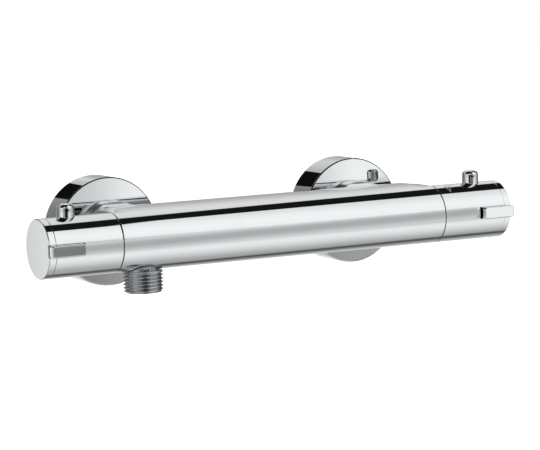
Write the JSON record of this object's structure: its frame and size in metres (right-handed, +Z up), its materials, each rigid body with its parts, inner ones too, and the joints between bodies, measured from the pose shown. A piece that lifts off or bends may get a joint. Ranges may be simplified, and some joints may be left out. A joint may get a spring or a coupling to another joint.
{
  "type": "thermostatic shower valve",
  "caption": "Exposed bar shower mixer: round chromed body, a handle with lever pin and push button at each end, wall couplings with rosettes and a threaded hose outlet below.",
  "frame": {"origin": "on the finished wall, midway between the two inlets and level with them", "axes": "+X along the bar from the flow handle to the temperature handle, +Y into the wall, +Z up"},
  "size_m": [0.2752, 0.1073, 0.0584],
  "materials": {
    "chrome_body": "polished chrome on cast brass",
    "chrome_handle": "polished chrome on zinc alloy",
    "chrome_fitting": "polished chrome on brass and steel sheet",
    "dark_button": "satin dark grey face in a chromed frame",
    "chrome_button": "polished chrome on ABS",
    "brass": "machined",
    "steel": "plain stainless steel",
    "thread_steel": "machined, nickel plated",
    "spring_steel": "drawn stainless wire",
    "copper": "drawn copper cup",
    "ceramic": "lapped alumina ceramic",
    "plastic_white": "moulded acetal",
    "plastic_grey": "moulded glass-filled plastic",
    "plastic_red": "moulded acetal",
    "rubber": "moulded EPDM"
  },
  "bodies": {
    "valve": {"valve_body": "chrome_body", "outlet_nipple": "thread_steel", "outlet_seal": "rubber", "thermostat_housing": "plastic_grey", "thermostat_return_spring": "spring_steel", "thermostat_gland": "brass", "thermostat_o_rings": "rubber", "flow_cartridge_housing": "brass", "flow_disc_seal": "rubber", "fixed_ceramic_disc": "ceramic", "flow_gland": "brass", "flow_o_rings": "rubber", "hot_inlet_tail": "chrome_fitting", "hot_union_nut": "chrome_fitting", "hot_strainer_washer": "rubber", "hot_check_housing": "plastic_white", "hot_check_spring": "spring_steel", "hot_eccentric_coupling": "brass", "hot_rosette": "chrome_fitting", "cold_inlet_tail": "chrome_fitting", "cold_union_nut": "chrome_fitting", "cold_strainer_washer": "rubber", "cold_check_housing": "plastic_white", "cold_check_spring": "spring_steel", "cold_eccentric_coupling": "brass", "cold_rosette": "chrome_fitting", "temperature_stop_ring": "plastic_grey", "flow_stop_ring": "plastic_grey"},
    "flow_handle": {"flow_spindle": "brass", "moving_ceramic_disc": "ceramic", "flow_handle_shell": "chrome_handle", "flow_end_cap": "chrome_handle", "flow_handle_insert": "plastic_white", "flow_handle_screw": "steel", "flow_lever_pin": "chrome_handle", "economy_button_spring": "spring_steel"},
    "economy_press": {"economy_button": "dark_button"},
    "temperature_handle": {"temperature_spindle": "brass", "temperature_handle_shell": "chrome_handle", "temperature_end_cap": "chrome_handle", "temperature_handle_insert": "plastic_white", "temperature_handle_screw": "steel", "temperature_lever_pin": "chrome_handle", "safety_button_spring": "spring_steel"},
    "safety_press": {"safety_button": "chrome_button"},
    "thermostat_carriage": {"regulating_nut": "brass", "wax_element": "copper", "thermostat_slider": "plastic_white"},
    "hot_poppet": {"hot_check_poppet": "plastic_red"},
    "cold_poppet": {"cold_check_poppet": "plastic_red"}
  },
  "joints": [
    {"name": "flow_turn", "type": "hinge", "parent": "valve", "child": "flow_handle", "pos_m": [-0.0965, -0.07, 0], "axis": [-1, 0, 0], "range_deg": [0, 90]},
    {"name": "economy_button_press", "type": "slide", "parent": "flow_handle", "child": "economy_press", "axis": [0, 1, 0], "range_m": [0, 0.0018], "stiffness_N_per_m": 400, "springref_m": -0.001, "deforming": ["economy_button_spring"]},
    {"name": "temperature_turn", "type": "hinge", "parent": "valve", "child": "temperature_handle", "pos_m": [0.0965, -0.07, 0], "axis": [1, 0, 0], "range_deg": [-150, 60]},
    {"name": "safety_button_press", "type": "slide", "parent": "temperature_handle", "child": "safety_press", "axis": [0, 1, 0], "range_m": [0, 0.0018], "stiffness_N_per_m": 400, "springref_m": -0.001, "deforming": ["safety_button_spring"]},
    {"name": "thermostat_travel", "type": "slide", "parent": "valve", "child": "thermostat_carriage", "axis": [1, 0, 0], "range_m": [-0.00127, 0.00052], "deforming": ["thermostat_return_spring"]},
    {"name": "hot_check_open", "type": "slide", "parent": "valve", "child": "hot_poppet", "axis": [0, -1, 0], "range_m": [0, 0.0025], "stiffness_N_per_m": 60, "springref_m": -0.001, "deforming": ["hot_check_spring"]},
    {"name": "cold_check_open", "type": "slide", "parent": "valve", "child": "cold_poppet", "axis": [0, -1, 0], "range_m": [0, 0.0025], "stiffness_N_per_m": 60, "springref_m": -0.001, "deforming": ["cold_check_spring"]}
  ],
  "couplings": [
    {"joint": "thermostat_travel", "follows": "temperature_turn", "m_per_rad": 0.00047746}
  ]
}
